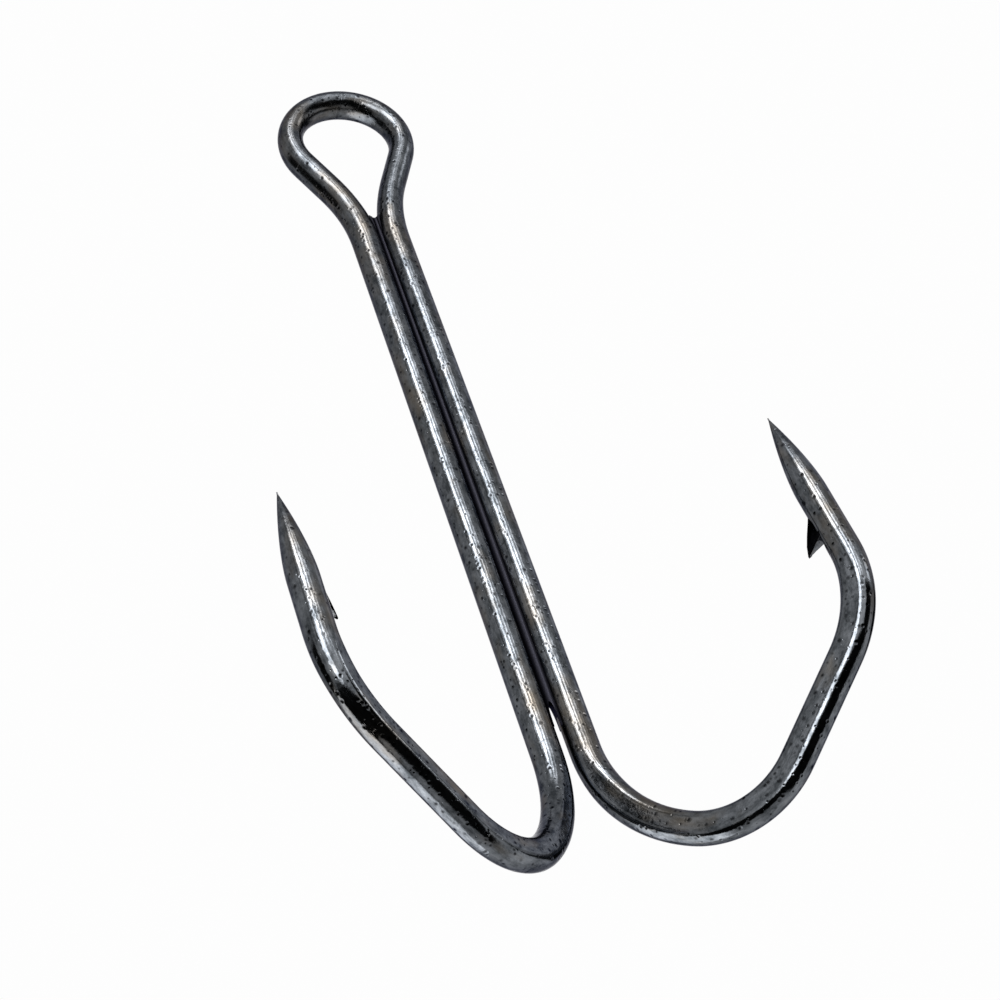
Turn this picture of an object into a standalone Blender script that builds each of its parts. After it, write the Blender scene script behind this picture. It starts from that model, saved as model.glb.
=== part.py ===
"""Double fishing hook, bent from one length of round wire.

The wire's middle is the line eye, its two legs run side by side down the shank, brazed
together, and each leg turns into a hook with a ground point and a barb. Metres, +Z up. The origin is the centre of
the eye, the shank hangs straight down from it, and the hooks open to +X and -X and lean
forwards, to -Y. The eye lies in the XZ plane, and each leg bends in a plane of its own.
Every stretch of the wire is its own solid, and neighbours meet on flat cross-sections.
"""

import math
from collections import namedtuple

import bmesh
import bpy
from mathutils import Matrix, Vector

MM = 0.001

# Wire
WIRE_DIAMETER = 2.0 * MM
WIRE_RADIUS = WIRE_DIAMETER / 2

# Eye: a round loop, two straight flanks, and a neck that brings the legs side by side
EYE_RADIUS = 3.95 * MM
NECK_RADIUS = 12.8 * MM
NECK_ANGLE = math.radians(25.6)

# Closing the eye squeezes its wire: a little off each side in the XZ plane, a little on across it
EYE_SQUEEZE = 0.1 * MM
EYE_SPREAD = 0.1 * MM
EYE_FADE = 5.0 * MM

# Shank
SHANK_LENGTH = 43.2 * MM
LEG_GAP = 0.12 * MM
LEG_SPLAY = math.radians(0.22)

# Braze: a web that fills the gap between the legs, from the crotch of the neck to short of the heels
BRAZE_CREST = 2.2 * MM
BRAZE_END = 1.8 * MM
BRAZE_THICKNESS = 0.8 * MM

# Hooks: the angle between the two bend planes, then each leg's bends in order
HOOK_SPREAD = math.radians(99.4)
HEEL_RADIUS = 10.0 * MM
HEEL_ANGLE = {"left": math.radians(51.8), "right": math.radians(57.3)}
BEND_RADIUS = 6.15 * MM
BEND_ANGLE = math.radians(73.9)
ARM_LENGTH = 6.75 * MM
SHOULDER_RADIUS = 7.8 * MM
SHOULDER_ANGLE = math.radians(54.1)

# Points: the straight from the shoulder to the tip, ground to a taper over its last stretch
POINT_LENGTH = {"left": 10.1 * MM, "right": 11.0 * MM}
TAPER_LENGTH = 6.4 * MM
TAPER_POWER = 1.6
TIP_DIAMETER = 0.08 * MM

# Barbs: a tooth raised from the inner side, whose tip points back to the bend. Its back is
# arched: part way along, it already has a share of its rise.
BARB_FRONT = {"left": 4.45 * MM, "right": 3.65 * MM}
BARB_LENGTH = 2.83 * MM
BARB_RISE = 1.15 * MM
BARB_ARCH_AT = 0.45
BARB_ARCH_SHARE = 0.54
BARB_UNDERCUT = 0.45 * MM
BARB_WIDTH = 1.25 * MM
BARB_EDGE = 0.16 * MM
BARB_SEAT = 0.3 * MM

# Forging: both sides of each bend are pressed flat by this depth and the wire spreads in the
# bend plane, from the heel to the shoulder. The flats fade in and out.
FORGING_DEPTH = 0.15 * MM
FORGING_SPREAD = 0.05 * MM
FORGING_FADE = 4.0 * MM

# Mesh fineness
SECTION_SIDES = 24
ARC_STEP = math.radians(7.5)
TAPER_STEPS = 8

# Polished black nickel plate: colour, roughness and metallic value
PLATE_COLOUR = (0.075, 0.077, 0.085, 1.0)
PLATE_METALLIC = 1.0
PLATE_ROUGHNESS = {"eye": 0.30, "shank": 0.28, "braze": 0.34, "bend": 0.24, "arm": 0.24, "point": 0.20}

SIDES = ("left", "right")
SIDE_SIGN = {"left": -1.0, "right": 1.0}

# A place on the wire's centreline: distance along it, place and direction in the bend plane
Station = namedtuple("Station", "along out up heading")

# A cross-section: half widths in and across the bend plane, and half the thickness of its flats
Section = namedtuple("Section", "in_plane across flats")


def line(start, length, steps=1):
    """Stations along a straight stretch that carries on from start."""
    stations = []
    for step in range(steps + 1):
        run = length * step / steps
        out = start.out + run * math.cos(start.heading)
        up = start.up + run * math.sin(start.heading)
        stations.append(Station(start.along + run, out, up, start.heading))
    return stations


def arc(start, radius, turn):
    """Stations round an arc that carries on from start. A positive turn goes to the left."""
    hand = math.copysign(1.0, turn)
    centre_out = start.out - hand * radius * math.sin(start.heading)
    centre_up = start.up + hand * radius * math.cos(start.heading)
    steps = math.ceil(abs(turn) / ARC_STEP)
    stations = []
    for step in range(steps + 1):
        swept = turn * step / steps
        heading = start.heading + swept
        out = centre_out + hand * radius * math.sin(heading)
        up = centre_up - hand * radius * math.cos(heading)
        stations.append(Station(start.along + radius * abs(swept), out, up, heading))
    return stations


def leg_offset():
    """Half the distance between the two legs' centrelines where the shank leaves the neck."""
    return WIRE_RADIUS + LEG_GAP / 2


def flank_length():
    """The eye's straight flank, as long as it takes for the loop to close round the origin."""
    neck_out = leg_offset() + NECK_RADIUS * (math.cos(LEG_SPLAY) - math.cos(NECK_ANGLE))
    return (EYE_RADIUS * math.cos(NECK_ANGLE) - neck_out) / math.sin(NECK_ANGLE)


def neck_bottom():
    """Height of the neck's lower end, where the shank begins."""
    neck_rise = NECK_RADIUS * (math.sin(LEG_SPLAY) + math.sin(NECK_ANGLE))
    flank_rise = flank_length() * math.cos(NECK_ANGLE)
    loop_rise = EYE_RADIUS * math.sin(NECK_ANGLE)
    return -(neck_rise + flank_rise + loop_rise)


def eye_stations():
    """The eye from the right leg's neck, over the top and down to the left leg's."""
    start = Station(0.0, leg_offset(), neck_bottom(), math.pi / 2 + LEG_SPLAY)
    neck_turn = NECK_ANGLE + LEG_SPLAY
    stations = arc(start, NECK_RADIUS, -neck_turn)
    stations += line(stations[-1], flank_length())[1:]
    stations += arc(stations[-1], EYE_RADIUS, math.pi + 2 * NECK_ANGLE)[1:]
    stations += line(stations[-1], flank_length())[1:]
    stations += arc(stations[-1], NECK_RADIUS, -neck_turn)[1:]
    return stations


def leg_stations(side):
    """One leg's stretches in its own bend plane, which starts at the neck and opens outwards."""
    start = Station(0.0, 0.0, 0.0, -math.pi / 2)
    shank = line(start, SHANK_LENGTH)
    heel = arc(shank[-1], HEEL_RADIUS, HEEL_ANGLE[side])
    bend = heel + arc(heel[-1], BEND_RADIUS, BEND_ANGLE)[1:]
    arm = line(bend[-1], ARM_LENGTH, steps=2)
    arm += arc(arm[-1], SHOULDER_RADIUS, SHOULDER_ANGLE)[1:]
    point = line(arm[-1], POINT_LENGTH[side] - TAPER_LENGTH)
    point += line(point[-1], TAPER_LENGTH, steps=TAPER_STEPS)[1:]
    return {"shank": shank, "bend": bend, "arm": arm, "point": point}


def tapered_radius(to_tip):
    """Radius at this distance from the tip: a pointed arch that runs out into the round wire."""
    if to_tip >= TAPER_LENGTH:
        return WIRE_RADIUS
    arch = 1.0 - (1.0 - to_tip / TAPER_LENGTH) ** TAPER_POWER
    return max(WIRE_RADIUS * arch, TIP_DIAMETER / 2)


def eased(inside, fade):
    """0 outside a stretch, 1 well inside it, and a smooth step between."""
    share = min(max(inside / fade, 0.0), 1.0)
    return share * share * (3.0 - 2.0 * share)


def eye_section(station, length):
    """The eye's wire: round at both ends of the neck, squeezed oval round the loop."""
    squeezed = eased(min(station.along, length - station.along), EYE_FADE)
    across = WIRE_RADIUS + EYE_SPREAD * squeezed
    return Section(WIRE_RADIUS - EYE_SQUEEZE * squeezed, across, across)


def leg_section(station, stretches):
    """A leg's wire: round, forged from the heel to the shoulder, and tapered to the tip."""
    from_heel = station.along - stretches["bend"][0].along
    to_shoulder = stretches["arm"][-1].along - station.along
    forged = eased(min(from_heel, to_shoulder), FORGING_FADE)
    radius = tapered_radius(stretches["point"][-1].along - station.along)
    flats = min(radius, WIRE_RADIUS - FORGING_DEPTH * forged)
    return Section(radius + FORGING_SPREAD * forged, radius, flats)


def add_ring(mesh, station, section):
    """A cross-section at a station, with its sides pressed to its flats. It returns its edges."""
    tangent = Vector((math.cos(station.heading), 0.0, math.sin(station.heading)))
    across = Vector((0.0, section.across, 0.0))
    normal = tangent.cross(Vector((0.0, section.in_plane, 0.0)))
    turned = Matrix((across, normal, tangent)).transposed().to_4x4()
    placed = Matrix.Translation((station.out, 0.0, station.up)) @ turned
    made = bmesh.ops.create_circle(mesh, segments=SECTION_SIDES, radius=1.0, matrix=placed)
    for vertex in made["verts"]:
        vertex.co.y = min(max(vertex.co.y, -section.flats), section.flats)
    return list({edge for vertex in made["verts"] for edge in vertex.link_edges})


def wire_mesh(name, stations, sections):
    """A closed solid of rings bridged along the stations, one cross-section at each."""
    mesh = bmesh.new()
    rings = [add_ring(mesh, station, section) for station, section in zip(stations, sections)]
    for near, far in zip(rings, rings[1:]):
        bmesh.ops.bridge_loops(mesh, edges=near + far)
    for end in (rings[0], rings[-1]):
        bmesh.ops.contextual_create(mesh, geom=end)
    bmesh.ops.recalc_face_normals(mesh, faces=mesh.faces)
    data = bpy.data.meshes.new(name)
    mesh.to_mesh(data)
    mesh.free()
    return data


def barb_mesh(name, root, side):
    """The barb's tooth on the point's inner side, as the hull of its root, arch and tip edge."""
    tangent = Vector((math.cos(root.heading), 0.0, math.sin(root.heading)))
    inward = Vector((-math.sin(root.heading), 0.0, math.cos(root.heading)))
    base = Vector((root.out, 0.0, root.up))
    tip_along = BARB_FRONT[side] - BARB_LENGTH
    arch_along = tip_along + BARB_LENGTH * BARB_ARCH_AT
    seat = WIRE_RADIUS - BARB_SEAT
    corners = (
        (BARB_FRONT[side], seat, BARB_EDGE / 2),
        (arch_along, WIRE_RADIUS + BARB_RISE * BARB_ARCH_SHARE, BARB_EDGE / 2),
        (tip_along + BARB_UNDERCUT, seat, BARB_WIDTH / 2),
        (tip_along, WIRE_RADIUS + BARB_RISE, BARB_EDGE / 2),
    )
    mesh = bmesh.new()
    for along, off, half_width in corners:
        for across in (-half_width, half_width):
            mesh.verts.new(base + tangent * along + inward * off + Vector((0.0, across, 0.0)))
    bmesh.ops.convex_hull(mesh, input=mesh.verts)
    bmesh.ops.recalc_face_normals(mesh, faces=mesh.faces)
    data = bpy.data.meshes.new(name)
    mesh.to_mesh(data)
    mesh.free()
    return data


def plate_material(name, roughness):
    """Polished black nickel plate over steel wire."""
    material = bpy.data.materials.new(name)
    material.use_nodes = True
    shader = material.node_tree.nodes["Principled BSDF"]
    shader.inputs["Base Color"].default_value = PLATE_COLOUR
    shader.inputs["Metallic"].default_value = PLATE_METALLIC
    shader.inputs["Roughness"].default_value = roughness
    return material


def add_part(name, stretch, data, parent):
    """An object of the scene with its own finish, placed by its parent."""
    part = bpy.data.objects.new(name, data)
    data.materials.append(plate_material(name + "_plate", PLATE_ROUGHNESS[stretch]))
    data.shade_smooth()
    data.set_sharp_from_angle(angle=math.radians(35))
    bpy.context.scene.collection.objects.link(part)
    part.parent = parent
    return part


def add_empty(name, placed):
    """An empty that holds the parts of one bend plane."""
    empty = bpy.data.objects.new(name, None)
    empty.matrix_world = placed
    bpy.context.scene.collection.objects.link(empty)
    return empty


def weld_barb(point, root, side):
    """Joins the barb to its point, so that both are one solid."""
    name = point.name + "_barb"
    barb = bpy.data.objects.new(name, barb_mesh(name, root, side))
    barb.hide_render = True
    barb.display_type = "WIRE"
    bpy.context.scene.collection.objects.link(barb)
    barb.parent = point.parent
    union = point.modifiers.new("barb", "BOOLEAN")
    union.operation = "UNION"
    union.solver = "EXACT"
    union.object = barb


def build_eye():
    """The loop that the line or split ring goes through, with its neck."""
    frame = add_empty("eye_frame", Matrix.Identity(4))
    stations = eye_stations()
    sections = [eye_section(station, stations[-1].along) for station in stations]
    add_part("eye", "eye", wire_mesh("eye", stations, sections), frame)


def leg_frame(side):
    """Where a leg's bend plane stands: at the neck, splayed sideways and turned forwards."""
    sign = SIDE_SIGN[side]
    neck = Matrix.Translation((sign * leg_offset(), 0.0, neck_bottom()))
    splay = Matrix.Rotation(-sign * LEG_SPLAY, 4, "Y")
    forward = (math.pi - HOOK_SPREAD) / 2
    yaw = -forward if side == "right" else math.pi + forward
    return neck @ splay @ Matrix.Rotation(yaw, 4, "Z")


def build_leg(side):
    """One leg: its shank, bend, arm, and point with barb."""
    frame = add_empty(side + "_leg_frame", leg_frame(side))
    stretches = leg_stations(side)
    for stretch, stations in stretches.items():
        name = side + "_" + stretch
        sections = [leg_section(station, stretches) for station in stations]
        part = add_part(name, stretch, wire_mesh(name, stations, sections), frame)
        if stretch == "point":
            weld_barb(part, stations[0], side)


def build_braze(wires):
    """The braze between the legs: a slab as wide as it takes, less the wires that it runs between."""
    top = neck_bottom() + BRAZE_CREST
    bottom = neck_bottom() - SHANK_LENGTH * math.cos(LEG_SPLAY) + BRAZE_END
    size = Matrix.Diagonal((2 * leg_offset(), BRAZE_THICKNESS, top - bottom, 1.0))
    placed = Matrix.Translation((0.0, 0.0, (top + bottom) / 2)) @ size
    mesh = bmesh.new()
    bmesh.ops.create_cube(mesh, size=1.0, matrix=placed)
    data = bpy.data.meshes.new("shank_braze")
    mesh.to_mesh(data)
    mesh.free()
    frame = add_empty("braze_frame", Matrix.Identity(4))
    web = add_part("shank_braze", "braze", data, frame)
    for wire in wires:
        cut = web.modifiers.new(wire.name, "BOOLEAN")
        cut.operation = "DIFFERENCE"
        cut.solver = "EXACT"
        cut.object = wire


def main():
    for existing in list(bpy.data.objects):
        bpy.data.objects.remove(existing)
    build_eye()
    for side in SIDES:
        build_leg(side)
    build_braze([bpy.data.objects[name] for name in ("eye", "left_shank", "right_shank")])


main()
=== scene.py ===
import math

import bmesh
import bpy
from mathutils import Matrix, Vector
from mathutils.kdtree import KDTree


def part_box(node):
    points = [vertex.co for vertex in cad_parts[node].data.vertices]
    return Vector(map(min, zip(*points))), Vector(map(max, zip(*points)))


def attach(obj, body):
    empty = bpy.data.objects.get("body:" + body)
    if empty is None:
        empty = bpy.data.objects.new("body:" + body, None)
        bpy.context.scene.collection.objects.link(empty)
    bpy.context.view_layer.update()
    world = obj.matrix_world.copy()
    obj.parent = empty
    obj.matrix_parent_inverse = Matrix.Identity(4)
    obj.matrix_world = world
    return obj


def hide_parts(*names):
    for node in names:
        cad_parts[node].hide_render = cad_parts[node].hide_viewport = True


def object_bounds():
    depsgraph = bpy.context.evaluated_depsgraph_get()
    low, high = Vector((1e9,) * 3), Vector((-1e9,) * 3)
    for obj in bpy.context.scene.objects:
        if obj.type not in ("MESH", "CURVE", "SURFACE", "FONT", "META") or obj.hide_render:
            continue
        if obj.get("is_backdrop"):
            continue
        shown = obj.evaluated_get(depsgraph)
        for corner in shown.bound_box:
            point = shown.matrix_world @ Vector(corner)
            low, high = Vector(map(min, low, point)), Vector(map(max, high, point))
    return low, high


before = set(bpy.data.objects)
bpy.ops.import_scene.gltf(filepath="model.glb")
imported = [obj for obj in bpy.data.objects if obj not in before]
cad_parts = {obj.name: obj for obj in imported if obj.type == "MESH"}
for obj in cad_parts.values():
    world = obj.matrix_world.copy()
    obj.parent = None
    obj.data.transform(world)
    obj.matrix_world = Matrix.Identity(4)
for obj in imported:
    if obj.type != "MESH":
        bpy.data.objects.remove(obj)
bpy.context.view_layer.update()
print("frame loaded:", len(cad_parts), "nodes")

mm = 0.001
sliver = 1e-6     # metres; points nearer than this count as one

# The wire that the whole hook is bent from. Lengths in mm, angles in degrees.
wire = {
    "diameter": 2.0,
    "sides": 64,          # facets round the wire
    "ringSpacing": 0.4,   # along a straight
    "arcStep": 2.5,       # along a bend
    "endRing": 0.03,      # a thin first and last ring, so that shading runs on into the next piece
    "fineStep": 0.05,     # between the places read off the centreline
    "sharpest": 40,       # edges flatter than this are shaded smooth
    "legGap": 0.12,       # air between the two legs
}
radius = wire["diameter"] / 2

# The loop for the line, with the flanks and neck that bring the legs side by side
eye = {
    "loopRadius": 3.95,
    "neckRadius": 12.8,
    "neckAngle": 25.6,
    "squeezed": 0.1,      # taken off each side in the loop's plane when the eye was closed
    "spread": 0.1,        # and pushed out across it
    "fade": 5.0,
}

shank = {
    "length": 43.2,
    "splay": 0.22,
}

# Each leg's hook. Left and right differ a little, as two hand-fed legs do.
hook = {
    "spread": 99.4,       # angle between the two bend planes
    "heelRadius": 10.0,
    "heelAngle": {"left": 51.8, "right": 57.3},
    "bendRadius": 6.15,
    "bendAngle": 73.9,
    "arm": 6.75,
    "shoulderRadius": 7.8,
    "shoulderAngle": 54.1,
    "pressed": 0.15,      # forging depth on each side
    "widened": 0.05,      # and the spread in the bend's plane
    # Each pass of the die: where it starts, as a share of the depth short of the flat, and how
    # much of the height past that is kept. The first two roll the edge of the flat over.
    "passes": ((1, 0.8), (0.4, 0.7), (0, 0)),
    "fade": 4.0,
}

point = {
    "length": {"left": 10.1, "right": 11.0},
    "taper": 6.4,
    "power": 1.6,
    "tip": 0.08,
    "taperStep": 0.16,
}

# The barb is a sliver cut from the inner side and lifted. Distances run from the shoulder's end.
barb = {
    "front": {"left": 4.45, "right": 3.65},
    "length": 2.83,
    "rise": 1.15,
    "arch": 0.35,         # how far its back bulges forwards, towards its tip
    "archLevels": (0.3, 0.6, 0.85),   # shares of its height at which the back is pushed out
    "undercut": 0.45,
    "width": 1.25,
    "edge": 0.14,
    "seat": 0.3,
    "facets": 40,
    "notchDepth": 0.22,
    "notchLength": 1.0,
    "blade": (1.6, 2.4, 1.0),         # length, width and height of the tool that cuts the notch
    "bladeBack": 0.35,
}

legOffset = radius + wire["legGap"] / 2


def sinOf(degrees):
    return math.sin(math.radians(degrees))


def cosOf(degrees):
    return math.cos(math.radians(degrees))


neckOut = legOffset + eye["neckRadius"] * (cosOf(shank["splay"]) - cosOf(eye["neckAngle"]))
flank = (eye["loopRadius"] * cosOf(eye["neckAngle"]) - neckOut) / sinOf(eye["neckAngle"])
neckRise = eye["neckRadius"] * (sinOf(shank["splay"]) + sinOf(eye["neckAngle"]))
neckBottom = -(neckRise + flank * cosOf(eye["neckAngle"]) + eye["loopRadius"] * sinOf(eye["neckAngle"]))


def smooth(inside, fade):
    share = min(max(inside / fade, 0.0), 1.0)
    return share * share * (3.0 - 2.0 * share)


# --- the wire is drawn flat, in the XZ plane, one short extrude or spin at a time ---

def startRing(name, pen, size):
    bpy.ops.object.select_all(action="DESELECT")
    bpy.ops.mesh.primitive_circle_add(
        vertices=wire["sides"],
        radius=radius * mm,
        fill_type="NGON",
        location=(pen["out"] * mm, 0, pen["up"] * mm),
        rotation=(0, math.radians(90 - pen["heading"]), 0),
    )
    piece = bpy.context.active_object
    piece.name = name
    piece.data.name = name
    bpy.ops.object.transform_apply(location=True, rotation=True, scale=True)
    bpy.ops.object.mode_set(mode="EDIT")
    bpy.ops.mesh.select_mode(type="FACE")
    bpy.ops.mesh.select_all(action="SELECT")
    resizeRing(pen, (radius, radius), size)
    return piece


def resizeRing(pen, was, size):
    inPlane = size[0] / was[0]
    across = size[1] / was[1]
    if abs(inPlane - 1) < 1e-7 and abs(across - 1) < 1e-7:
        return
    bpy.ops.transform.resize(
        value=(inPlane, across, inPlane),
        center_override=(pen["out"] * mm, 0, pen["up"] * mm),
    )


def stepStraight(pen, length):
    out = length * cosOf(pen["heading"])
    up = length * sinOf(pen["heading"])
    bpy.ops.mesh.extrude_region_move(TRANSFORM_OT_translate={"value": (out * mm, 0, up * mm)})
    pen["out"] += out
    pen["up"] += up
    pen["along"] += length


def stepRound(pen, bendRadius, turn):
    hand = math.copysign(1, turn)
    centreOut = pen["out"] - hand * bendRadius * sinOf(pen["heading"])
    centreUp = pen["up"] + hand * bendRadius * cosOf(pen["heading"])
    bpy.ops.mesh.spin(
        steps=1,
        angle=math.radians(turn),
        center=(centreOut * mm, 0, centreUp * mm),
        axis=(0, 1, 0),
    )
    pen["heading"] += turn
    pen["out"] = centreOut + hand * bendRadius * sinOf(pen["heading"])
    pen["up"] = centreUp - hand * bendRadius * cosOf(pen["heading"])
    pen["along"] += bendRadius * math.radians(abs(turn))


def cutUp(total, step, thinStart, thinEnd):
    # lengths of the steps, with a thin one where the piece starts or ends
    lengths = []
    if thinStart:
        lengths.append(thinStart)
    middle = total - thinStart - thinEnd
    count = max(1, math.ceil(middle / step))
    lengths += [middle / count] * count
    if thinEnd:
        lengths.append(thinEnd)
    return lengths


def drawWire(name, pen, moves, sizeAt):
    # moves are ("straight", length, step) or ("round", radius, turn). It returns the centreline too.
    size = sizeAt(pen["along"])
    piece = startRing(name, pen, size)
    rings = [dict(pen)]
    for number, move in enumerate(moves):
        kind = move[0]
        first = wire["endRing"] if number == 0 else 0
        last = wire["endRing"] if number == len(moves) - 1 else 0
        if kind == "straight":
            steps = cutUp(move[1], move[2], first, last)
        else:
            perMm = math.degrees(1 / move[1])
            steps = cutUp(abs(move[2]), wire["arcStep"], first * perMm, last * perMm)
        for step in steps:
            if kind == "straight":
                stepStraight(pen, step)
            else:
                stepRound(pen, move[1], math.copysign(step, move[2]))
            newSize = sizeAt(pen["along"])
            resizeRing(pen, size, newSize)
            size = newSize
            rings.append(dict(pen))
    bpy.ops.object.mode_set(mode="OBJECT")
    return piece, rings


def selectWhere(piece, test):
    mesh = bmesh.from_edit_mesh(piece.data)
    for vertex in mesh.verts:
        vertex.select = test(vertex.co)
    mesh.select_flush_mode()
    bmesh.update_edit_mesh(piece.data)


def only(piece):
    bpy.ops.object.select_all(action="DESELECT")
    piece.select_set(True)
    bpy.context.view_layer.objects.active = piece


def pressFlats(piece, rings, halfAt):
    # both sides of the wire are pressed flat, ring by ring
    only(piece)
    bpy.ops.object.mode_set(mode="EDIT")
    bpy.ops.mesh.select_mode(type="VERT")
    for ring in rings:
        half = halfAt(ring["along"])
        depth = radius - half
        centre = Vector((ring["out"] * mm, 0, ring["up"] * mm))
        along = Vector((cosOf(ring["heading"]), 0, sinOf(ring["heading"])))
        near = 1.6 * radius * mm     # this ring only, where the wire comes back past it
        for share, kept in hook["passes"]:
            start = half - depth * share
            for side in (-1, 1):
                selectWhere(piece, lambda place: abs((place - centre).dot(along)) < 2 * sliver
                            and (place - centre).length < near and side * place.y > start * mm)
                bpy.ops.transform.resize(value=(1, kept, 1), center_override=(0, side * start * mm, 0))
    bpy.ops.object.mode_set(mode="OBJECT")


def straighten(piece, rings, side, yaw, shift):
    # Each point also carries its place on the wire as it was before bending, so that drawing
    # lines and pits follow the bends and run on from piece to piece.
    fine = []
    for near, far in zip(rings, rings[1:]):
        parts = max(1, math.ceil((far["along"] - near["along"]) / wire["fineStep"]))
        for part in range(parts + 1):
            share = part / parts
            fine.append({key: near[key] + (far[key] - near[key]) * share for key in near})
    tree = KDTree(len(fine))
    for number, ring in enumerate(fine):
        tree.insert((ring["out"] * mm, 0, ring["up"] * mm), number)
    tree.balance()
    places = []
    for vertex in piece.data.vertices:
        flat = (vertex.co.x, 0, vertex.co.z)
        ring = fine[tree.find(flat)[1]]
        away = vertex.co - Vector((ring["out"] * mm, 0, ring["up"] * mm))
        inward = Vector((-sinOf(ring["heading"]), 0, cosOf(ring["heading"])))
        onward = Vector((cosOf(ring["heading"]), 0, sinOf(ring["heading"])))
        n = away.dot(inward)
        along = ring["along"] * mm + away.dot(onward)
        x = n * cosOf(yaw) - away.y * sinOf(yaw)
        y = n * sinOf(yaw) + away.y * cosOf(yaw)
        if side == "right":
            places += [-x, y, -along]
        else:
            places += [x, y, along + shift * mm]
    straight = piece.data.attributes.new("straight", "FLOAT_VECTOR", "POINT")
    straight.data.foreach_set("vector", places)


def carve(piece, tool, operation):
    # joins or cuts with another solid
    only(piece)
    join = piece.modifiers.new(tool.name, "BOOLEAN")
    join.operation = operation
    join.solver = "EXACT"
    join.object = tool
    bpy.ops.object.modifier_apply(modifier=join.name)


def discard(tool):
    bpy.data.objects.remove(tool)


def layOnPoint(tool, root):
    # from lying along +X to its place on the point, inner side up
    only(tool)
    tool.rotation_euler = (0, math.radians(-root["heading"]), 0)
    tool.location = (root["out"] * mm, 0, root["up"] * mm)
    bpy.ops.object.transform_apply(location=True, rotation=True, scale=True)


def makeNotch(root, tipAt):
    # the scoop that the blade left behind the barb
    slope = math.degrees(math.atan2(barb["notchDepth"], barb["notchLength"]))
    end = tipAt + barb["undercut"]
    bpy.ops.object.select_all(action="DESELECT")
    bpy.ops.mesh.primitive_cube_add(size=1)
    notch = bpy.context.active_object
    notch.name = "notch"
    notch.scale = [side * mm for side in barb["blade"]]
    notch.rotation_euler = (0, math.radians(slope), 0)
    middle = end - barb["bladeBack"]
    floorThere = radius - barb["notchDepth"] * (middle - (end - barb["notchLength"])) / barb["notchLength"]
    notch.location = (middle * mm, 0, (floorThere + barb["blade"][2] / 2) * mm)
    bpy.ops.object.transform_apply(location=True, rotation=True, scale=True)
    layOnPoint(notch, root)
    return notch


def makeBarb(root, tipAt):
    # a thorn with an arched back that leans over the notch, cut flat behind
    seat = radius - barb["seat"]
    height = radius + barb["rise"] - seat
    half = barb["length"] / 2
    bpy.ops.object.select_all(action="DESELECT")
    bpy.ops.mesh.primitive_cone_add(
        vertices=barb["facets"], radius1=mm, radius2=barb["edge"] / 2 * mm, depth=height * mm,
        location=((tipAt + half) * mm, 0, (seat + height / 2) * mm),
    )
    thorn = bpy.context.active_object
    thorn.name = "barb"
    bpy.ops.object.transform_apply(location=True, rotation=True, scale=True)
    bpy.ops.object.mode_set(mode="EDIT")
    bpy.ops.mesh.select_mode(type="VERT")
    middle = ((tipAt + half) * mm, 0, seat * mm)
    selectWhere(thorn, lambda place: place.z < (seat + height / 2) * mm)
    bpy.ops.transform.resize(value=(half, barb["width"] / 2, 1), center_override=middle)
    selectWhere(thorn, lambda place: place.z > (seat + height / 2) * mm)
    bpy.ops.transform.translate(value=(-half * mm, 0, 0))
    for share in barb["archLevels"]:
        level = seat + share * height
        bpy.ops.mesh.select_all(action="SELECT")
        bpy.ops.mesh.bisect(plane_co=(0, 0, level * mm), plane_no=(0, 0, 1))
        selectWhere(thorn, lambda place: abs(place.z - level * mm) < sliver)
        reach = 1 + barb["arch"] * share ** 2
        bpy.ops.transform.resize(value=(reach, 1, 1), center_override=(tipAt * mm, 0, level * mm))
    bpy.ops.mesh.select_all(action="SELECT")
    bpy.ops.mesh.bisect(
        plane_co=(tipAt * mm, 0, (radius + barb["rise"]) * mm),
        plane_no=(-height, 0, -barb["undercut"]),
        use_fill=True, clear_outer=True, clear_inner=False,
    )
    bpy.ops.object.mode_set(mode="OBJECT")
    for material in (groundNickel, barbPaintedShadeNickel):
        thorn.data.materials.append(material)
    for face in thorn.data.polygons:
        # the flat cut behind it keeps the ground point's plate; its sides take the nearly black
        # painted-shade material
        face.material_index = 0 if face.normal.x < -0.9 else 1
    layOnPoint(thorn, root)
    return thorn


def finishPiece(piece, node, material):
    only(piece)
    bpy.ops.object.mode_set(mode="EDIT")
    bpy.ops.mesh.select_all(action="SELECT")
    bpy.ops.mesh.remove_doubles(threshold=sliver)
    bpy.ops.mesh.normals_make_consistent(inside=False)
    bpy.ops.object.mode_set(mode="OBJECT")
    bpy.ops.object.transform_apply(location=True, rotation=True, scale=True)
    bpy.ops.object.shade_smooth_by_angle(angle=math.radians(wire["sharpest"]))
    if not piece.data.materials:
        piece.data.materials.append(material)
    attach(piece, "root")
    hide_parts(node)
    low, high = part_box(node)
    corners = [vertex.co for vertex in piece.data.vertices]
    gaps = []     # how far the piece's box is off its node's box
    for axis in range(3):
        gaps.append(min(corner[axis] for corner in corners) - low[axis])
        gaps.append(max(corner[axis] for corner in corners) - high[axis])
    worst = round(max(map(abs, gaps)) / mm, 3)
    print(piece.name, "faces", len(piece.data.polygons), "off the frame by", worst, "mm")


def linear(code):
    channels = []
    for start in (0, 2, 4):
        value = int(code[start:start + 2], 16) / 255
        channels.append(value / 12.92 if value <= 0.04045 else ((value + 0.055) / 1.055) ** 2.4)
    return (*channels, 1)


def addNode(tree, kind, inputs=None, **settings):
    # one node with its settings; an input is a value or another node's output
    node = tree.nodes.new(kind)
    for name, value in settings.items():
        setattr(node, name, value)
    for key, value in (inputs or {}).items():
        socket = node.inputs[key]
        if isinstance(value, bpy.types.NodeSocket):
            tree.links.new(value, socket)
        else:
            socket.default_value = value
    return node


neckTurn = eye["neckAngle"] + shank["splay"]
eyeLength = (2 * eye["neckRadius"] * math.radians(neckTurn) + 2 * flank
             + eye["loopRadius"] * math.radians(180 + 2 * eye["neckAngle"]))

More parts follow.
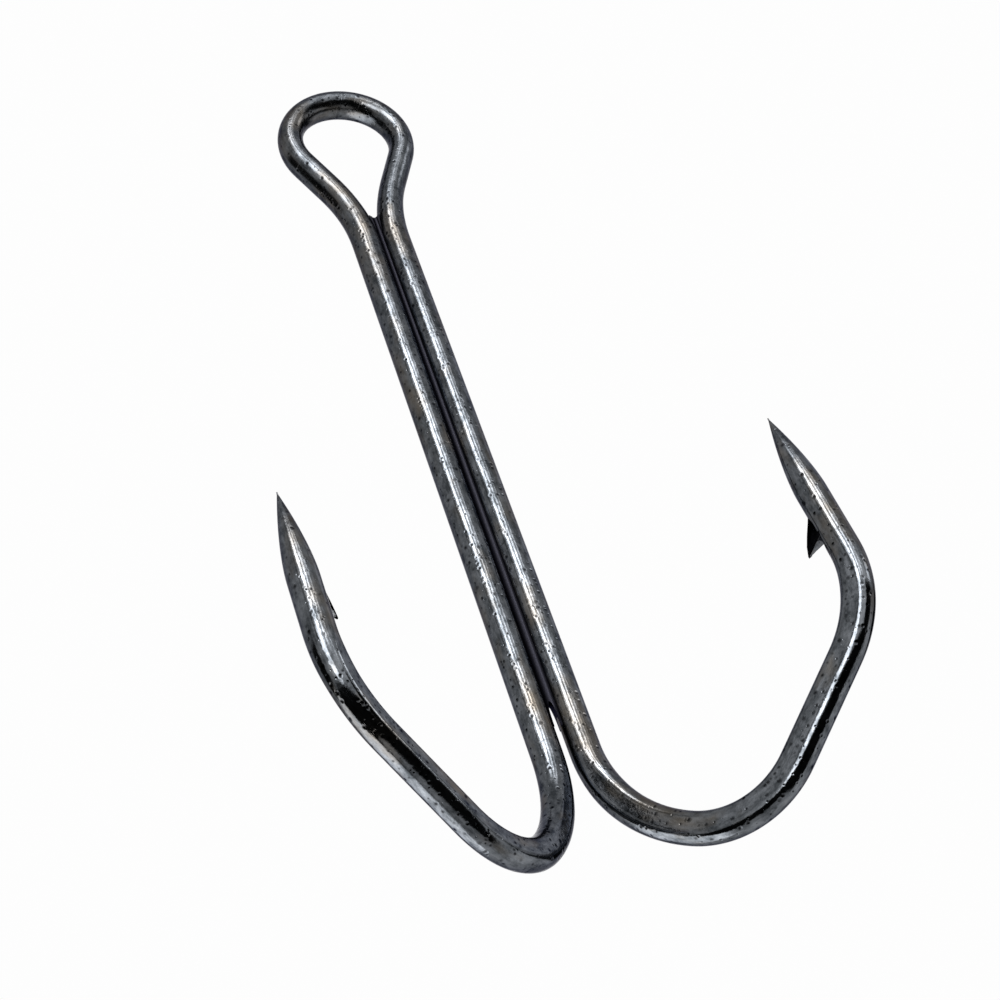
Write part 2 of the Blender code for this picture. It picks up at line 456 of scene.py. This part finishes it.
# Black nickel is plated thin and shiny over polished high-carbon steel wire. It mirrors its
# surroundings at about a twelfth of their strength, so the body reads as dark grey, glass-like
# metal with hard white lines where a lamp is mirrored. The drawn wire under it still shows as
# fine lines along its length, pickling leaves small pits, and the plate clouds as it thins.
nickel = {
    "dark": "303336",
    "light": "5d6064",
    "warm": "575149",       # thin plate lets the brown of the steel through
    "pitColour": "0c0c0e",
    "edge": "b4b4ba",       # grazing light comes back faintly blue
    "roughness": 0.06,
    "roughSpread": 0.10,
    "grainRange": (0.35, 0.70),   # the part of the plate's grain that roughens it
    "eyeHaze": 0.10,        # more roughness at the eye, where bending dulled the polish
    "eyeDull": 0.22,        # and less of the light comes back there
    "hazeFrom": 0.35,       # share of the eye's length, from its crown, where both start to fade
    "hazeFade": 16.0,       # mm along the legs
    "lineSpacing": 0.12,    # mm across the drawing lines
    "lineLength": 4.0,      # mm along them
    "lineDepth": 0.003,
    "peel": 0.28,           # mm, grain of the plate
    "peelDepth": 0.009,
    "wave": 3.5,            # mm, hand of the straightening rolls
    "waveDepth": 0.05,
    "cloud": 0.6,           # mm
    "cloudRange": (0.36, 0.66),
    "patch": 2.4,           # mm, thin brownish places
    "patchRange": (0.48, 0.70),
    "patchMost": 0.8,
    "pit": 0.38,            # mm from pit to pit
    "pitFrom": 0.10,        # a smaller number gives more of them
    "pitSize": 0.60,
    "pitDepth": 0.02,
    "mark": 3.0,            # mm, length of a tool mark across the wire
    "markWidth": 0.28,      # mm along the wire
    "markDepth": 0.006,
    "markRange": (0.65, 0.69),    # a higher start leaves fewer of them
}


def makeNickel(name, finish):
    # finish holds what this surface changes from the plain drawn wire
    look = {**nickel, **finish}
    material = bpy.data.materials.new(name)
    material.use_nodes = True
    tree = material.node_tree
    tree.nodes.clear()
    place = addNode(tree, "ShaderNodeAttribute", attribute_name="straight").outputs["Vector"]

    # each grain's size across the wire in mm, the share of its scale along it, detail, roughness
    grains = {}
    for kind, size, alongShare, detail, rough in (
        ("lines", look["lineSpacing"], look["lineSpacing"] / look["lineLength"], 2.0, 0.6),
        ("peel", look["peel"], 0.6, 3.0, 0.65),
        ("wave", look["wave"], 0.5, 1.0, 0.5),
        ("cloud", look["cloud"], 0.5, 4.0, 0.75),
        ("patch", look["patch"], 0.4, 3.0, 0.65),
        ("marks", look["mark"], look["mark"] / look["markWidth"], 2.0, 0.5),
    ):
        across = 1 / (size * mm)
        stretched = addNode(tree, "ShaderNodeMapping", {
            "Vector": place, "Scale": (across, across, across * alongShare),
        })
        grains[kind] = addNode(tree, "ShaderNodeTexNoise", {
            "Vector": stretched.outputs["Vector"], "Scale": 1.0, "Detail": detail, "Roughness": rough,
        }).outputs["Fac"]
    pits = addNode(tree, "ShaderNodeTexVoronoi", {
        "Vector": place, "Scale": 1 / (look["pit"] * mm), "Randomness": 1.0,
    })
    chosen = addNode(tree, "ShaderNodeSeparateColor", {"Color": pits.outputs["Color"]})
    pitSize = addNode(tree, "ShaderNodeMapRange", {
        "Value": chosen.outputs["Red"], "From Min": look["pitFrom"], "From Max": 1.0,
        "To Min": 0.0, "To Max": look["pitSize"],
    })
    pitMask = addNode(tree, "ShaderNodeMapRange", {
        "Value": pits.outputs["Distance"],
        "From Min": 0.0, "From Max": pitSize.outputs["Result"],
        "To Min": 1.0, "To Max": 0.0,
    }, interpolation_type="SMOOTHSTEP").outputs["Result"]
    markMask = addNode(tree, "ShaderNodeMapRange", {
        "Value": grains["marks"], "From Min": look["markRange"][0], "From Max": look["markRange"][1],
    }, interpolation_type="SMOOTHSTEP").outputs["Result"]

    clouded = addNode(tree, "ShaderNodeMapRange", {
        "Value": grains["cloud"], "From Min": look["cloudRange"][0], "From Max": look["cloudRange"][1],
    }).outputs["Result"]
    warmed = addNode(tree, "ShaderNodeMapRange", {
        "Value": grains["patch"], "From Min": look["patchRange"][0], "From Max": look["patchRange"][1],
        "To Max": look["patchMost"],
    }).outputs["Result"]
    plate = linear(look["dark"])
    fromEye = addNode(tree, "ShaderNodeVectorMath", {
        0: place, 1: (0, 0, eyeLength / 2 * mm),
    }, operation="DISTANCE").outputs["Value"]
    worn = {}
    for effect in ("eyeHaze", "eyeDull"):
        worn[effect] = addNode(tree, "ShaderNodeMapRange", {
            "Value": fromEye,
            "From Min": eyeLength * look["hazeFrom"] * mm,
            "From Max": (eyeLength / 2 + look["hazeFade"]) * mm,
            "To Min": look[effect], "To Max": 0.0,
        }, interpolation_type="SMOOTHSTEP").outputs["Result"]
    for cover, colour in (
        (clouded, look["light"]),
        (warmed, look["warm"]),
        (worn["eyeDull"], look["pitColour"]),
        (pitMask, look["pitColour"]),
    ):
        plate = addNode(tree, "ShaderNodeMix", {
            0: cover, 6: plate, 7: linear(colour),
        }, data_type="RGBA").outputs[2]

    grainy = addNode(tree, "ShaderNodeMapRange", {
        "Value": grains["peel"], "From Min": look["grainRange"][0], "From Max": look["grainRange"][1],
        "To Min": look["roughness"], "To Max": look["roughness"] + look["roughSpread"],
    }).outputs["Result"]
    rough = addNode(tree, "ShaderNodeMath", {0: grainy, 1: worn["eyeHaze"]}, operation="ADD")

    normal = None
    for height, depth in (
        (grains["wave"], look["waveDepth"]),
        (grains["lines"], look["lineDepth"]),
        (grains["peel"], look["peelDepth"]),
        (pitMask, -look["pitDepth"]),
        (markMask, -look["markDepth"]),
    ):
        inputs = {"Strength": 1.0, "Distance": abs(depth) * mm, "Height": height}
        if normal:
            inputs["Normal"] = normal
        normal = addNode(tree, "ShaderNodeBump", inputs, invert=depth < 0).outputs["Normal"]

    shader = addNode(tree, "ShaderNodeBsdfPrincipled", {
        "Base Color": plate,
        "Metallic": 1.0,
        "Roughness": rough.outputs[0],
        "Specular Tint": linear(look["edge"]),
        "Normal": normal,
    })
    addNode(tree, "ShaderNodeOutputMaterial", {"Surface": shader.outputs["BSDF"]})
    return material


drawnNickel = makeNickel("blackNickelOnDrawnWire", {})
# the die closed the drawing lines up and left its own slow hand, without the rolls' marks
forgedNickel = makeNickel("blackNickelOnForgedBend", {
    "lineDepth": 0.002, "waveDepth": 0.06, "markDepth": 0,
})
# grinding took the rolls' hand and marks off, so its highlight is the straightest
groundNickel = makeNickel("blackNickelOnGroundPoint", {"waveDepth": 0.03, "markDepth": 0})
# painted shade: the cut and lifted barb's sides are coloured nearly black, standing in for the dark that
# they mirror
barbPaintedShadeNickel = makeNickel("blackNickelOnCutBarb", {
    "dark": "050506", "light": "101014", "warm": "0a0a0a", "edge": "303038", "roughness": 0.2,
})
# plate over cast filler, coloured nearly black as painted shade for the deep groove between the legs: a
# grainy groove that gives almost no highlight
brazePaintedShadeNickel = makeNickel("blackNickelOnBraze", {
    "dark": "08080a", "light": "1e1e24", "warm": "0e0d0d", "peelDepth": 0.014, "roughness": 0.2,
})
print("materials made")


def eyeSize(along):
    share = smooth(min(along, eyeLength - along), eye["fade"])
    return (radius - eye["squeezed"] * share, radius + eye["spread"] * share)


eyePen = {"out": legOffset, "up": neckBottom, "heading": 90 + shank["splay"], "along": 0}
eyeWire, eyeRings = drawWire("eyeWire", eyePen, [
    ("round", eye["neckRadius"], -neckTurn),
    ("straight", flank, wire["ringSpacing"]),
    ("round", eye["loopRadius"], 180 + 2 * eye["neckAngle"]),
    ("straight", flank, wire["ringSpacing"]),
    ("round", eye["neckRadius"], -neckTurn),
], eyeSize)
straighten(eyeWire, eyeRings, "left", 0, 0)
finishPiece(eyeWire, "eye", drawnNickel)

for side in ("left", "right"):
    sign = 1 if side == "right" else -1
    forward = (180 - hook["spread"]) / 2
    yaw = -forward if side == "right" else 180 + forward
    bendPlane = (
        Matrix.Translation((sign * legOffset * mm, 0, neckBottom * mm))
        @ Matrix.Rotation(math.radians(-sign * shank["splay"]), 4, "Y")
        @ Matrix.Rotation(math.radians(yaw), 4, "Z")
    )
    heelStart = shank["length"]
    bendEnd = (heelStart + hook["heelRadius"] * math.radians(hook["heelAngle"][side])
               + hook["bendRadius"] * math.radians(hook["bendAngle"]))
    shoulderEnd = bendEnd + hook["arm"] + hook["shoulderRadius"] * math.radians(hook["shoulderAngle"])
    tipAlong = shoulderEnd + point["length"][side]

    def forged(along):
        return smooth(min(along - heelStart, shoulderEnd - along), hook["fade"])

    def legSize(along):
        toTip = max(tipAlong - along, 0)
        wide = radius
        if toTip < point["taper"]:
            wide = max(radius * (1 - (1 - toTip / point["taper"]) ** point["power"]), point["tip"] / 2)
        return (wide + hook["widened"] * forged(along), wide)

    def flatHalf(along):
        return radius - hook["pressed"] * forged(along)

    pen = {"out": 0, "up": 0, "heading": -90, "along": 0}
    stretches = {
        "shank": [("straight", shank["length"], wire["ringSpacing"])],
        "bend": [("round", hook["heelRadius"], hook["heelAngle"][side]),
                 ("round", hook["bendRadius"], hook["bendAngle"])],
        "arm": [("straight", hook["arm"], wire["ringSpacing"]),
                ("round", hook["shoulderRadius"], hook["shoulderAngle"])],
        "point": [("straight", point["length"][side] - point["taper"], wire["ringSpacing"]),
                  ("straight", point["taper"], point["taperStep"])],
    }
    for stretch, moves in stretches.items():
        piece, rings = drawWire(side + stretch.capitalize() + "Wire", pen, moves, legSize)
        if stretch in ("bend", "arm"):
            pressFlats(piece, rings, flatHalf)
        if stretch == "point":
            tipAt = barb["front"][side] - barb["length"]
            notch = makeNotch(rings[0], tipAt)
            carve(piece, notch, "DIFFERENCE")
            discard(notch)
            thorn = makeBarb(rings[0], tipAt)
            # the barb's materials go on the point too, one of them the nearly black painted shade, so that
            # the join keeps them
            for material in (groundNickel, barbPaintedShadeNickel):
                piece.data.materials.append(material)
            carve(piece, thorn, "UNION")
            discard(thorn)
        straighten(piece, rings, side, yaw, eyeLength)
        piece.matrix_world = bendPlane
        if stretch == "shank":
            material = drawnNickel
        elif stretch == "point":
            material = groundNickel
        else:
            material = forgedNickel
        finishPiece(piece, side + "_" + stretch, material)
print("wire bent")

# The filler ran into the gap by itself, so each face is a hollow round fillet from wire to
# wire. It grows wider towards the heels as the legs part, and its ends are arched.
braze = {
    "crest": 2.2,         # mm above the neck's lower end
    "end": 1.8,           # mm short of the heels
    "thickness": 0.84,    # front to back, where it meets the wires
    "climb": 0.18,        # mm up the wires at the crest
    "crotch": 0.34,       # radius of the arch at the crest
    "archWide": 0.24,     # half width and height of the arch at the heels
    "archHigh": 1.9,
    "fillet": 0.215,      # radius of the hollow at the crest, and how far out its axis lies
    "filletOut": 0.54,
    "lowFillet": 0.44,    # the same at the heels
    "lowFilletOut": 0.72,
    "barFacets": 64,
    "scoopFacets": 48,
    "past": 1.0,          # mm by which a cutting bar runs past each end
    "through": 4.0,       # mm, length of the scoops that cut from front to back
}
brazeTop = neckBottom + braze["crest"]
brazeBottom = neckBottom - shank["length"] * cosOf(shank["splay"]) + braze["end"]
brazeHigh = brazeTop + braze["climb"]
bpy.ops.object.select_all(action="DESELECT")
bpy.ops.mesh.primitive_cube_add(size=1)
web = bpy.context.active_object
web.name = "brazeWeb"
web.data.name = "brazeWeb"
web.scale = (2 * legOffset * mm, braze["thickness"] * mm, (brazeHigh - brazeBottom) * mm)
web.location = (0, 0, (brazeHigh + brazeBottom) / 2 * mm)
bpy.ops.object.transform_apply(location=True, rotation=True, scale=True)
for face in (-1, 1):
    # a long round bar hollows each face, thicker and further out at its lower end
    bpy.ops.object.select_all(action="DESELECT")
    bpy.ops.mesh.primitive_cylinder_add(
        vertices=braze["barFacets"],
        radius=braze["fillet"] * mm,
        depth=(brazeHigh - brazeBottom + 2 * braze["past"]) * mm,
        location=(0, face * braze["filletOut"] * mm, (brazeHigh + brazeBottom) / 2 * mm),
    )
    bar = bpy.context.active_object
    bpy.ops.object.transform_apply(location=True, rotation=True, scale=True)
    bpy.ops.object.mode_set(mode="EDIT")
    bpy.ops.mesh.select_mode(type="VERT")
    selectWhere(bar, lambda place: place.z < brazeBottom * mm)
    wider = braze["lowFillet"] / braze["fillet"]
    lowEnd = (0, face * braze["filletOut"] * mm, (brazeBottom - braze["past"]) * mm)
    bpy.ops.transform.resize(value=(wider, wider, 1), center_override=lowEnd)
    bpy.ops.transform.translate(value=(0, face * (braze["lowFilletOut"] - braze["filletOut"]) * mm, 0))
    bpy.ops.object.mode_set(mode="OBJECT")
    carve(web, bar, "DIFFERENCE")
    discard(bar)
for wide, high, middle in (
    (braze["crotch"], braze["crotch"], brazeTop + braze["crotch"]),
    (braze["archWide"], braze["archHigh"], brazeBottom),
):
    bpy.ops.object.select_all(action="DESELECT")
    bpy.ops.mesh.primitive_cylinder_add(
        vertices=braze["scoopFacets"],
        radius=mm,
        depth=braze["through"] * mm,
        location=(0, 0, middle * mm),
        rotation=(math.radians(90), 0, 0),
    )
    scoop = bpy.context.active_object
    scoop.scale = (wide, high, 1)
    bpy.ops.object.transform_apply(location=True, rotation=True, scale=True)
    carve(web, scoop, "DIFFERENCE")
    discard(scoop)
for neighbour in ("eyeWire", "leftShankWire", "rightShankWire"):
    carve(web, bpy.data.objects[neighbour], "DIFFERENCE")
# the filler was never bent, so its pattern lies straight on it
straight = web.data.attributes.new("straight", "FLOAT_VECTOR", "POINT")
straight.data.foreach_set("vector", [value for vertex in web.data.vertices for value in vertex.co])
# the web takes the nearly black painted shade of the groove
finishPiece(web, "shank_braze", brazePaintedShadeNickel)
print("legs brazed")

studio = {
    "floorDrop": 0.26,      # metres under the eye, below the camera, which looks up at the hook
    "floorSize": 6.0,
    "floorColour": "e9e9ea",
    "floorRoughness": 0.9,
    "backdrop": 0.985,
}

bpy.ops.object.select_all(action="DESELECT")
bpy.ops.mesh.primitive_plane_add(size=studio["floorSize"], location=(0, 0, -studio["floorDrop"]))
floor = bpy.context.active_object
floor.name = "studioFloor"
bpy.ops.object.transform_apply(location=True, rotation=True, scale=True)
# matt emulsion, rolled on: an even pale ground without a highlight
floorPaint = bpy.data.materials.new("matteStudioPaint")
floorPaint.use_nodes = True
paint = floorPaint.node_tree.nodes["Principled BSDF"]
paint.inputs["Base Color"].default_value = linear(studio["floorColour"])
paint.inputs["Roughness"].default_value = studio["floorRoughness"]
floor.data.materials.append(floorPaint)
floor.visible_glossy = False
floor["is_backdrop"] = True

# What surrounds the hook: a white tent with bright glows and narrow lamp strips in front of it,
# and the dark room at its sides and below. Each entry lies over the ones before it. Azimuth 0
# faces -Y and grows towards +X. All are in degrees, and strength 1 is the white tent.
surroundings = [
    {"azimuth": 160, "elevation": -50, "halfWide": 60, "halfHigh": 35, "soft": 20, "strength": 1.4},
    {"azimuth": -132, "elevation": -32, "halfWide": 32, "halfHigh": 27, "soft": 14, "strength": 5.5},
    {"azimuth": 100, "elevation": -28, "halfWide": 32, "halfHigh": 25, "soft": 10, "strength": 1.6},
    {"azimuth": -2, "elevation": 10, "halfWide": 52, "halfHigh": 24, "soft": 16, "strength": 2.0},
    {"azimuth": -43, "elevation": 36, "halfWide": 5, "halfHigh": 20, "soft": 8, "strength": 0.6},
    {"azimuth": -4, "elevation": 34, "halfWide": 28, "halfHigh": 22, "soft": 16, "strength": 3.2},
    {"azimuth": -26, "elevation": 8, "halfWide": 10, "halfHigh": 20, "soft": 6, "fade": 14, "strength": 13},
    {"azimuth": -18, "elevation": 36, "halfWide": 7, "halfHigh": 16, "soft": 4, "fade": 16, "strength": 20},
    {"azimuth": 5, "elevation": 36, "halfWide": 4, "halfHigh": 16, "soft": 3, "fade": 16, "strength": 15},
    {"azimuth": 26, "elevation": 34, "halfWide": 2.5, "halfHigh": 20, "soft": 3, "fade": 16, "strength": 7},
    {"azimuth": 98, "elevation": 33, "halfWide": 12, "halfHigh": 12, "soft": 8, "strength": 1.6},
    {"azimuth": 66, "elevation": 20, "halfWide": 9, "halfHigh": 6, "soft": 4, "strength": 7},
    {"azimuth": 112, "elevation": 8, "halfWide": 14, "halfHigh": 12, "soft": 6, "strength": 0.03},
    {"azimuth": -98, "elevation": 7, "halfWide": 21, "halfHigh": 16, "soft": 6, "strength": 0.03},
    {"azimuth": 48, "elevation": -8, "halfWide": 18, "halfHigh": 20, "soft": 6, "strength": 0.02},
    {"azimuth": -15, "elevation": -40, "halfWide": 82, "halfHigh": 25, "soft": 8, "strength": 0.02},
]

world = bpy.data.worlds.new("whiteTent")
bpy.context.scene.world = world
world.use_nodes = True
tree = world.node_tree
tree.nodes.clear()
ray = addNode(tree, "ShaderNodeTexCoord").outputs["Generated"]
split = addNode(tree, "ShaderNodeSeparateXYZ", {"Vector": ray})
toFront = addNode(tree, "ShaderNodeMath", {0: split.outputs["Y"], 1: -1.0}, operation="MULTIPLY").outputs[0]
bearing = addNode(tree, "ShaderNodeMath", {
    0: split.outputs["X"], 1: toFront,
}, operation="ARCTAN2").outputs[0]
height = addNode(tree, "ShaderNodeMath", {0: split.outputs["Z"]}, operation="ARCSINE").outputs[0]


def lobe(card):
    # 1 inside the card, 0 outside, soft between
    masks = []
    for angle, middle, half, soft in (
        (bearing, "azimuth", "halfWide", card["soft"]),
        (height, "elevation", "halfHigh", card.get("fade", card["soft"])),
    ):
        away = addNode(tree, "ShaderNodeMath", {
            0: angle, 1: math.radians(card[middle]),
        }, operation="SUBTRACT")
        near = addNode(tree, "ShaderNodeMath", {
            0: away.outputs[0], 1: math.pi, 2: -math.pi,
        }, operation="WRAP")
        size = addNode(tree, "ShaderNodeMath", {0: near.outputs[0]}, operation="ABSOLUTE")
        masks.append(addNode(tree, "ShaderNodeMapRange", {
            "Value": size.outputs[0],
            "From Min": math.radians(card[half] - soft / 2),
            "From Max": math.radians(card[half] + soft / 2),
            "To Min": 1.0, "To Max": 0.0,
        }, interpolation_type="SMOOTHSTEP").outputs["Result"])
    return addNode(tree, "ShaderNodeMath", {0: masks[0], 1: masks[1]}, operation="MULTIPLY").outputs[0]


total = 1.0     # the tent alone
for card in surroundings:
    total = addNode(tree, "ShaderNodeMix", {
        0: lobe(card), 2: total, 3: card["strength"],
    }, data_type="FLOAT").outputs[0]
seen = addNode(tree, "ShaderNodeLightPath").outputs["Is Camera Ray"]
around = addNode(tree, "ShaderNodeBackground", {"Color": (1, 1, 1, 1), "Strength": total})
behind = addNode(tree, "ShaderNodeBackground", {"Color": (1, 1, 1, 1), "Strength": studio["backdrop"]})
choice = addNode(tree, "ShaderNodeMixShader", {0: seen, 1: around.outputs[0], 2: behind.outputs[0]})
addNode(tree, "ShaderNodeOutputWorld", {"Surface": choice.outputs[0]})
bpy.context.scene.view_settings.view_transform = "Standard"
print("studio set")

view = {
    "place": (-0.05654, -0.14592, -0.14607),
    "aim": (0.00165, 0.0, -0.0333),
    "roll": -20.2,
    "lens": 108,
    "sensor": 36,
    "nearest": 0.01,
}
camera = bpy.data.objects.new("camera", bpy.data.cameras.new("camera"))
bpy.context.scene.collection.objects.link(camera)
camera.data.lens = view["lens"]
camera.data.sensor_width = view["sensor"]
camera.data.clip_start = view["nearest"]
camera.location = view["place"]
towards = (Vector(view["aim"]) - Vector(view["place"])).to_track_quat("-Z", "Y")
camera.rotation_mode = "QUATERNION"
camera.rotation_quaternion = towards @ Matrix.Rotation(math.radians(view["roll"]), 3, "Z").to_quaternion()
bpy.context.scene.camera = camera

bpy.context.view_layer.update()
low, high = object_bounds()
